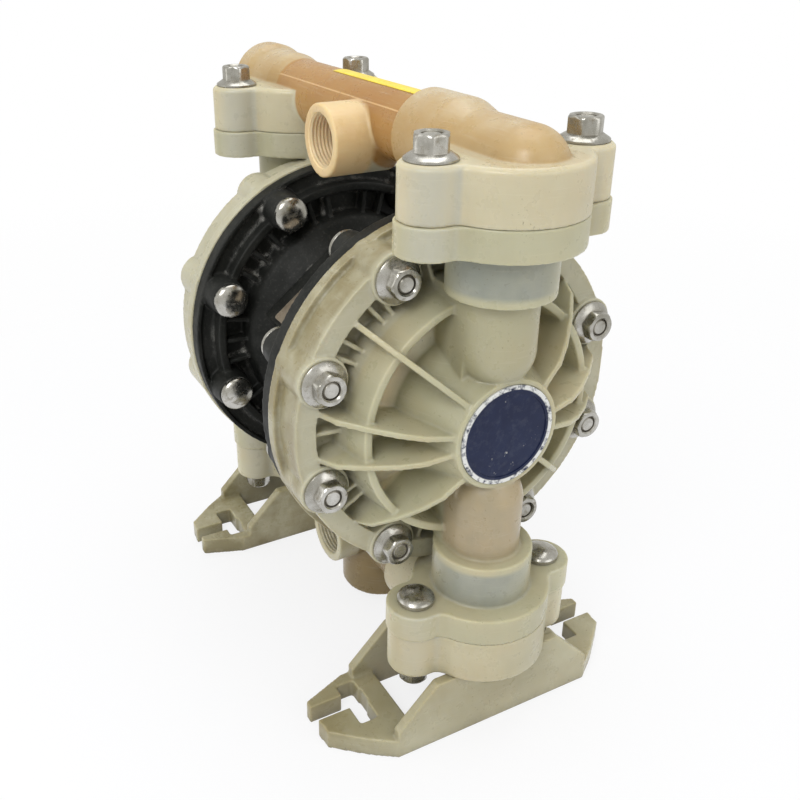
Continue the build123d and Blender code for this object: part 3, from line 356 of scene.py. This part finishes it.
cover_plastic = milky(
    "polypropylene_cover", (0.49, 0.475, 0.335), (0.40, 0.385, 0.26), (0.50, 0.42, 0.26), tint=cover_tint
)
manifold_plastic = milky(
    "polypropylene_manifold", (0.60, 0.55, 0.40), (0.49, 0.45, 0.31), (0.58, 0.48, 0.32), tint=manifold_tint
)
inlet_plastic = milky(
    "polypropylene_inlet",
    (0.56, 0.53, 0.38),
    (0.44, 0.41, 0.28),
    (0.48, 0.37, 0.21),
    spots=0.7,
    tint=inlet_tint_and_shade,
    corner_shade=0.6,
)
foot_plastic = milky(
    "polypropylene_foot",
    (0.54, 0.52, 0.38),
    (0.37, 0.34, 0.22),
    (0.32, 0.25, 0.12),
    spots=0.9,
    tint=foot_tint,
    corner_shade=0.75,
)


def black_plastic(name, crust):
    """black moulding with a pale crust in its corners"""
    t = Tree(name)
    base = t.mix(t.ramp(t.noise(50, 4, 0.6), 0.35, 0.7), (0.006, 0.007, 0.006), (0.022, 0.023, 0.021))
    corner = t.ramp(t.ao(0.0032), 0.5, 0.72, 1.0, 0.0)
    broken = t.ramp(t.noise(260, 4, 0.7), 0.42, 0.52)
    patches = t.ramp(t.noise(38, 4, 0.6), 0.48, 0.56)
    white = product(t, corner, broken, patches, crust)
    dust = t.math("MULTIPLY", t.ramp(t.noise(700, 3, 0.6), 0.55, 0.75), 0.12)
    col = t.mix(dust, base, (0.2, 0.19, 0.17))
    col = t.mix(white, col, (0.62, 0.61, 0.57))
    rough = t.ramp(t.noise(120, 4, 0.6), 0.3, 0.7, 0.42, 0.62)
    t.set(Base_Color=col, Roughness=t.math("ADD", rough, t.math("MULTIPLY", white, 0.3)))
    t.set(Specular_IOR_Level=0.2)
    t.set(Normal=t.bump(t.math("ADD", t.noise(800, 3, 0.6), white), 0.3, 0.0002))
    return t.mat


air_plastic = black_plastic("moulded_black", 0.9)
centre_plastic = black_plastic("moulded_black_centre", 0.2)


def metal(name, light, dark, rough_low, rough_high, stain=(0.28, 0.22, 0.15), stain_and_shade_amount=0.1):
    """bare or plated metal with painted shade in its corners and dirt in small spots"""
    t = Tree(name)
    col = t.mix(t.ramp(t.noise(90, 4, 0.6), 0.35, 0.68), light, dark)
    spots = t.ramp(t.noise(260, 4, 0.7), 0.54, 0.68)
    # painted shade in the corners, in the stain colour, joined to the dirt spots
    corner = t.ramp(t.ao(0.003), 0.4, 0.95, 1.0, 0.0)
    grime_and_shade = t.math("MULTIPLY", t.math("MAXIMUM", spots, corner), stain_and_shade_amount)
    col = t.mix(grime_and_shade, col, stain)
    rough = t.ramp(t.noise(300, 4, 0.6), 0.3, 0.7, rough_low, rough_high)
    rough = t.math("ADD", rough, t.math("MULTIPLY", grime_and_shade, 0.3))
    t.set(Base_Color=col, Metallic=t.math("SUBTRACT", 1.0, t.math("MULTIPLY", grime_and_shade, 0.6)), Roughness=rough)
    t.set(Normal=t.bump(t.noise(900, 2, 0.5), 0.12, 0.0001))
    return t.mat


zinc = metal("zinc_steel", (0.58, 0.57, 0.54), (0.33, 0.32, 0.28), 0.16, 0.32, (0.16, 0.13, 0.08), 0.6)
stainless = metal("stainless", (0.66, 0.66, 0.66), (0.5, 0.5, 0.5), 0.2, 0.34)
plate_metal = metal("plate_metal", (0.50, 0.43, 0.34), (0.33, 0.27, 0.20), 0.4, 0.6, (0.16, 0.12, 0.08), 0.6)
spool_metal = metal("spool_metal", (0.55, 0.55, 0.57), (0.4, 0.4, 0.42), 0.25, 0.4)


def plain(name, a, b, rough_low, rough_high):
    """two close colours, mottled"""
    t = Tree(name)
    n = t.noise(160, 4, 0.6)
    t.set(Base_Color=t.mix(t.ramp(n, 0.35, 0.65), a, b), Roughness=t.ramp(n, 0.3, 0.7, rough_low, rough_high))
    t.set(Normal=t.bump(t.noise(640, 3, 0.6), 0.15, 0.0002))
    return t.mat


rubber = plain("rubber", (0.03, 0.03, 0.03), (0.05, 0.05, 0.05), 0.5, 0.7)
ball_rubber = plain("ball_rubber", (0.17, 0.21, 0.27), (0.22, 0.25, 0.3), 0.35, 0.5)
acetal = plain("acetal", (0.78, 0.78, 0.74), (0.7, 0.7, 0.66), 0.3, 0.45)


def badge_material():
    """navy enamel, chipped and dusty, inside a worn silver ring"""
    t = Tree("badge_enamel")
    wear = t.ramp(t.noise(320, 5, 0.7), 0.36, 0.52)
    ring = product(t, between(t, t.radius("Y", 0.0, "Z", AXIS_H), *BADGE_RING, 0.0002), wear)
    navy = t.mix(t.ramp(t.noise(70, 4, 0.6), 0.35, 0.7), (0.006, 0.011, 0.042), (0.011, 0.019, 0.06))
    chips = t.ramp(t.noise(520, 3, 0.6), 0.66, 0.72)
    chips = product(t, chips, t.ramp(t.noise(60, 3, 0.5), 0.5, 0.62))
    dust = t.ramp(t.noise(240, 5, 0.7), 0.5, 0.72)
    col = t.mix(t.math("MULTIPLY", dust, 0.05), navy, (0.42, 0.44, 0.46))
    col = t.mix(t.math("MULTIPLY", chips, 0.6), col, (0.66, 0.66, 0.62))
    col = t.mix(ring, col, (0.70, 0.71, 0.70))
    t.set(Base_Color=col, Roughness=t.ramp(t.noise(200, 4, 0.6), 0.3, 0.7, 0.3, 0.45))
    t.set(Specular_IOR_Level=0.25)
    t.set(Normal=t.bump(t.noise(600, 3, 0.6), 0.12, 0.0002))
    return t.mat


badge_mat = badge_material()


def label_material():
    """yellow film, stained and specked"""
    t = Tree("label_yellow")
    stain = t.ramp(t.noise(75, 5, 0.65), 0.4, 0.7)
    col = t.mix(stain, (0.92, 0.72, 0.07), (0.78, 0.58, 0.06))
    speck = t.ramp(t.noise(520, 4, 0.7), 0.6, 0.68)
    col = t.mix(t.math("MULTIPLY", speck, 0.6), col, (0.14, 0.10, 0.04))
    t.set(Base_Color=col, Roughness=t.ramp(t.noise(180, 3, 0.5), 0.3, 0.7, 0.32, 0.5))
    t.set(Normal=t.bump(t.noise(300, 4, 0.6), 0.1, 0.0002))
    return t.mat


label_mat = label_material()

# ---------------------------------------------------------------- CAD nodes
SLOT_MATERIALS = {
    "polypropylene": cover_plastic,
    "black_plastic": air_plastic,
    "zinc_steel": zinc,
    "stainless": stainless,
    "plate_metal": plate_metal,
    "badge_enamel": badge_mat,
    "rubber": rubber,
    "ball_rubber": ball_rubber,
    "acetal": acetal,
    "spool_metal": spool_metal,
}
BY_NODE = {
    "outlet_manifold": manifold_plastic,
    "inlet_manifold": inlet_plastic,
    "foot_right": foot_plastic,
    "foot_left": foot_plastic,
    "centre_housing": centre_plastic,
}


for entry in frame["record"]["subparts"]:
    materials = nodes[entry["node"]].data.materials
    materials.clear()
    materials.append(BY_NODE.get(entry["node"], SLOT_MATERIALS[entry["material_slot"]]))


def moulded(obj, voxel, rounds):
    """round the edges of a moulded CAD node: remesh finely, then relax"""
    remesh = obj.modifiers.new("remesh", "REMESH")
    remesh.mode = "VOXEL"
    remesh.voxel_size = voxel
    remesh.adaptivity = 0.0
    remesh.use_smooth_shade = True
    relax = obj.modifiers.new("relax", "SMOOTH")
    relax.factor = 0.5
    relax.iterations = rounds


for voxel, rounds, names in (
    (0.0006, 3, ("liquid_cover_right", "liquid_cover_left")),
    (0.0007, 3, ("outlet_manifold", "inlet_manifold", "foot_right", "foot_left")),
    (0.0006, 2, ("air_cover_right", "air_cover_left", "centre_housing")),
):
    for name in names:
        moulded(nodes[name], voxel, rounds)

# ---------------------------------------------------------------- mesh helpers


def finish_mesh(name, bm, mat, body="pump"):
    """make a smooth-shaded piece of the finished bm and tie it to its body"""
    mesh = bpy.data.meshes.new(name)
    bmesh.ops.recalc_face_normals(bm, faces=bm.faces)
    bm.to_mesh(mesh)
    bm.free()
    mesh.shade_smooth()
    obj = bpy.data.objects.new(name, mesh)
    scene.collection.objects.link(obj)
    obj.data.materials.append(mat)
    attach(obj, body)
    return obj


def turned_ring(bm, place, radius_of, z, steps):
    """vertices round the axis of place, a 4x4 matrix, at a radius that may change with the angle"""
    ring = []
    for i in range(steps):
        a = 2 * math.pi * i / steps
        r = radius_of(a)
        ring.append(bm.verts.new(place @ Vector((r * math.cos(a), r * math.sin(a), z))))
    return ring


def join_rings(bm, a, b):
    """faces between two rings, either of which may be a single point"""
    n = max(len(a), len(b))
    for i in range(n):
        j = (i + 1) % n
        if len(a) == 1:
            bm.faces.new((a[0], b[i], b[j]))
        elif len(b) == 1:
            bm.faces.new((a[i], a[j], b[0]))
        else:
            bm.faces.new((a[i], a[j], b[j], b[i]))


def lathe(bm, profile, steps, place):
    """turn a profile of (radius, height) points, which starts and ends on the axis, into bm"""
    rings = []
    for r, z in profile:
        if r < 1e-7:
            rings.append([bm.verts.new(place @ Vector((0, 0, z)))])
        else:
            rings.append(turned_ring(bm, place, lambda a: r, z, steps))
    for a, b in zip(rings, rings[1:]):
        join_rings(bm, a, b)


def flange_nut(bm, place, height=0.008, across=0.013, flange=0.0205, bore=0.00415):
    """hexagon nut with a cone flange and chamfered corners"""
    apothem = across / 2
    corner = apothem / math.cos(math.pi / 6)

    def hexagon(a, cut=0.0003):
        """radius of the hexagon, with cut taken off its corners"""
        k = (a + math.pi / 6) % (math.pi / 3) - math.pi / 6
        return min(apothem / math.cos(k), corner - cut)

    f = flange / 2
    profile = (
        (lambda a: bore, 0.0),
        (lambda a: f - 0.0003, 0.0),
        (lambda a: f, 0.0003),
        (lambda a: f, 0.0010),
        (lambda a: f - 0.0003, 0.0013),
        (lambda a: corner + 0.0004, 0.0026),
        (lambda a: hexagon(a) + 0.00006, 0.0030),
        (hexagon, 0.0034),
        (hexagon, height - 0.0011),
        (lambda a: hexagon(a, 0.0006), height - 0.0006),
        (lambda a: apothem - 0.0001, height - 0.0001),
        (lambda a: apothem - 0.0007, height),
        (lambda a: bore + 0.0006, height),
        (lambda a: bore, height - 0.0006),
    )
    rings = [turned_ring(bm, place, radius_of, z, 48) for radius_of, z in profile]
    for a, b in zip(rings, rings[1:] + rings[:1]):
        join_rings(bm, a, b)


def bolt(bm, place, length, head_r=0.0085, head_h=0.005, shank=0.004):
    """domed head below z = 0, shank up to length with a threaded end"""
    brim = 0.0012  # thickness of the head at its edge
    threaded, pitch, depth = 0.016, 0.00125, 0.00045
    lowest = math.radians(12)  # where the dome meets the brim
    dome_points = 9
    profile = [(0.0, -head_h)]
    for i in range(1, dome_points + 1):
        a = math.radians(90) - (math.radians(90) - lowest) * i / dome_points
        profile.append((head_r * math.cos(a) / math.cos(lowest), -brim - (head_h - brim) * math.sin(a)))
    profile += [(head_r, -brim), (head_r, -0.0004), (head_r - 0.0004, 0.0), (shank, 0.0)]
    z = length - threaded
    profile.append((shank, z))
    while z + pitch < length - 0.0008:
        profile += [(shank - depth, z + pitch * 0.5), (shank, z + pitch)]
        z += pitch
    profile += [(shank - 0.0003, length - 0.0006), (shank - 0.0009, length), (0.0, length)]
    lathe(bm, profile, 32, place)


def facing(origin, direction):
    """a place at origin whose Z axis points in direction"""
    return Matrix.Translation(origin) @ Vector(direction).to_track_quat("Z", "Y").to_matrix().to_4x4()


# ---------------------------------------------------------------- fasteners
def random_turn():
    """a nut may stop anywhere in the sixth of a turn after which its hexagon repeats"""
    return Matrix.Rotation(random.uniform(0, math.pi / 3), 4, "Z")


def dress(name, bm, cad_node):
    """a piece with nuts or bolts that stands in for the plain ones of a CAD node"""
    piece = finish_mesh(name, bm, zinc)
    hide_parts(cad_node)
    crease = piece.modifiers.new("smooth_by_angle", "EDGE_SPLIT")
    crease.split_angle = math.radians(28)


random.seed(7)
for side, name in ((1, "right"), (-1, "left")):
    nuts, bolts = bmesh.new(), bmesh.new()
    outwards = (side, 0, 0)
    for angle in COVER_BOLT_ANGLES:
        a = math.radians(angle)
        y, z = COVER_BOLT_CIRCLE * math.cos(a), COVER_BOLT_CIRCLE * math.sin(a) + AXIS_H
        flange_nut(nuts, facing((side * COVER_NUT_X, y, z), outwards) @ random_turn())
        bolt(bolts, facing((side * COVER_HEAD_X, y, z), outwards), COVER_BOLT_LENGTH)
    dress("dressed_cover_nuts_" + name, nuts, "cover_nuts_" + name)
    dress("dressed_cover_bolts_" + name, bolts, "cover_bolts_" + name)
for name, (up, head_z, length) in JOINTS.items():
    nuts, bolts = bmesh.new(), bmesh.new()
    outwards = (0, 0, up)
    for x in (COLUMN_X, -COLUMN_X):
        for y in (LOBE_Y, -LOBE_Y):
            seat = facing((x, y, AXIS_H + up * JOINT_NUT_Z), outwards)
            flange_nut(nuts, seat @ random_turn(), height=JOINT_NUT_H)
            bolt(bolts, facing((x, y, AXIS_H + up * head_z), outwards), length)
    dress("dressed_%s_nuts" % name, nuts, name + "_manifold_nuts")
    dress("dressed_%s_bolts" % name, bolts, name + "_manifold_bolts")


# ---------------------------------------------------------------- port threads
def port_thread(name, z):
    """a helical ridge inside the port, from its mouth inwards, fading at both ends"""
    bm = bmesh.new()
    pitch, turns, per_turn = 0.0018, 8, 60
    depth, half_width = 0.0008, 0.0007
    root = PORT_BORE_R + 0.00007  # just under the surface of the bore
    mouth = -PORT_FACE_Y + 0.0010
    steps, fading = turns * per_turn, 12
    prev = None
    for i in range(steps + 1):
        a = 2 * math.pi * i / per_turn
        y = mouth + pitch * i / per_turn
        fade = min(1.0, i / fading, (steps - i) / fading)
        ring = []
        for dr, dy in ((0.0, -half_width), (-depth * fade, 0.0), (0.0, half_width)):
            r = root + dr
            ring.append(bm.verts.new((r * math.cos(a), y + dy, z + r * math.sin(a))))
        if prev:
            bm.faces.new((prev[0], ring[0], ring[1], prev[1]))
            bm.faces.new((prev[1], ring[1], ring[2], prev[2]))
        prev = ring
    return finish_mesh(name, bm, manifold_plastic)


port_thread("outlet_thread", AXIS_H + PORT_Z)
port_thread("inlet_thread", AXIS_H - PORT_Z)


# ---------------------------------------------------------------- label strip
def label_strip():
    """a thin strip bent over the top of the outlet tube: two curved sheets and their edges"""
    bm = bmesh.new()
    x0, x1 = -0.045, 0.0375
    a0, a1 = math.radians(76), math.radians(140)
    gap, thickness = 0.00005, 0.00017
    nx, na = 40, 14

    def sheet(r):
        rows = []
        for i in range(nx + 1):
            x = x0 + (x1 - x0) * i / nx
            angles = [a0 + (a1 - a0) * j / na for j in range(na + 1)]
            places = [(x, -r * math.cos(a), AXIS_H + TUBE_Z + r * math.sin(a)) for a in angles]
            rows.append([bm.verts.new(place) for place in places])
        return rows

    outer, inner = sheet(TUBE_R + gap + thickness), sheet(TUBE_R + gap)
    for i in range(nx):
        for j in range(na):
            bm.faces.new((outer[i][j], outer[i + 1][j], outer[i + 1][j + 1], outer[i][j + 1]))
            bm.faces.new((inner[i][j + 1], inner[i + 1][j + 1], inner[i + 1][j], inner[i][j]))
        bm.faces.new((outer[i][0], inner[i][0], inner[i + 1][0], outer[i + 1][0]))
        bm.faces.new((outer[i + 1][na], inner[i + 1][na], inner[i][na], outer[i][na]))
    for j in range(na):
        bm.faces.new((outer[0][j + 1], inner[0][j + 1], inner[0][j], outer[0][j]))
        bm.faces.new((outer[nx][j], inner[nx][j], inner[nx][j + 1], outer[nx][j + 1]))
    return finish_mesh("label_strip", bm, label_mat)


label_strip()


# ---------------------------------------------------------------- stage
def mix_shaders(tree, factor, a, b):
    """shows node a where the socket factor is 0 and node b where it is 1"""
    n = tree.nodes.new("ShaderNodeMixShader")
    for socket, source in zip(n.inputs, (factor, a.outputs[0], b.outputs[0])):
        tree.links.new(source, socket)
    return n


def floor_material():
    """a pale floor that glows a little for the eye and fades out into the background"""
    t = Tree("floor")
    t.set(Base_Color=t.mix(t.noise(2), (0.80, 0.81, 0.86), (0.82, 0.83, 0.88)))
    t.set(Roughness=0.9, Specular_IOR_Level=0.0)
    path = t.t.nodes.new("ShaderNodeLightPath").outputs
    seen = t.math("MAXIMUM", path["Is Camera Ray"], path["Is Glossy Ray"])
    seen = t.math("MAXIMUM", seen, path["Is Transmission Ray"])
    glow = t.t.nodes.new("ShaderNodeEmission")
    glow.inputs[0].default_value = (1, 1, 1, 1)
    clear = t.t.nodes.new("ShaderNodeBsdfTransparent")
    lit = mix_shaders(t.t, t.math("MULTIPLY", seen, 0.8), t.bsdf, glow)
    faded = mix_shaders(t.t, t.ramp(t.radius("X", 0.0, "Y", 0.0), 0.3, 0.9), lit, clear)
    t.t.links.new(faded.outputs[0], t.out.inputs[0])
    return t.mat


grid = bmesh.new()
bmesh.ops.create_grid(grid, x_segments=1, y_segments=1, size=1)
mesh = bpy.data.meshes.new("floor")
grid.to_mesh(mesh)
grid.free()
floor = bpy.data.objects.new("floor", mesh)
scene.collection.objects.link(floor)
floor.data.materials.append(floor_material())


def studio_world():
    """soft, slightly warm light from all sides, which the eye sees as plain white"""
    world = bpy.data.worlds.new("world")
    world.use_nodes = True
    tree = world.node_tree
    tree.nodes.clear()

    def background(colour, strength):
        n = tree.nodes.new("ShaderNodeBackground")
        n.inputs[0].default_value = (*colour, 1)
        n.inputs[1].default_value = strength
        return n

    path = tree.nodes.new("ShaderNodeLightPath").outputs
    seen = tree.nodes.new("ShaderNodeMath")
    seen.operation = "MAXIMUM"
    tree.links.new(path["Is Camera Ray"], seen.inputs[0])
    tree.links.new(path["Is Transmission Ray"], seen.inputs[1])
    soft, white = background((1.0, 0.985, 0.93), 0.72), background((1, 1, 1), 1.0)
    shown = mix_shaders(tree, seen.outputs[0], soft, white)
    tree.links.new(shown.outputs[0], tree.nodes.new("ShaderNodeOutputWorld").inputs[0])
    return world


scene.world = studio_world()


def area(name, place, target, size, power):
    """a white square lamp at place, pointing at target"""
    data = bpy.data.lights.new(name, "AREA")
    data.energy = power
    data.size = size
    obj = bpy.data.objects.new(name, data)
    obj.location = place
    obj.rotation_euler = (Vector(target) - Vector(place)).to_track_quat("-Z", "Y").to_euler()
    scene.collection.objects.link(obj)


area("key", (0.7, -0.9, 1.2), (0, 0, 0.12), 0.7, 9)
area("fill", (1.3, 0.5, 0.7), (0, 0, 0.14), 0.9, 3)
area("top", (-0.2, 0.2, 1.5), (0, 0, 0.14), 1.0, 6.5)
area("front", (-0.5, -1.3, 0.5), (0, 0, 0.12), 0.9, 2)

# ---------------------------------------------------------------- camera
# the photograph's view: pixels in its square frame, and angles in degrees
FRAME_PX = 800
FOCAL_PX = 926.7
CENTRE_PX = (357.96, 377.77)
SENSOR_MM = 36.0
AZIMUTH, ELEVATION = 62.02, 26.20
EYE = (0.37564, -0.21367, 0.34497)

cam = bpy.data.cameras.new("camera")
cam.sensor_width = SENSOR_MM
cam.lens = FOCAL_PX / FRAME_PX * SENSOR_MM
cam.shift_x = (FRAME_PX / 2 - CENTRE_PX[0]) / FRAME_PX
cam.shift_y = (CENTRE_PX[1] - FRAME_PX / 2) / FRAME_PX
cam.clip_start = 0.01
camera = bpy.data.objects.new("camera", cam)
scene.collection.objects.link(camera)
az, el = math.radians(AZIMUTH), math.radians(ELEVATION)
back = Vector((math.sin(az) * math.cos(el), -math.cos(az) * math.cos(el), math.sin(el)))
camera.location = EYE
camera.rotation_euler = back.to_track_quat("Z", "Y").to_euler()
scene.camera = camera
scene.view_settings.view_transform = "Standard"
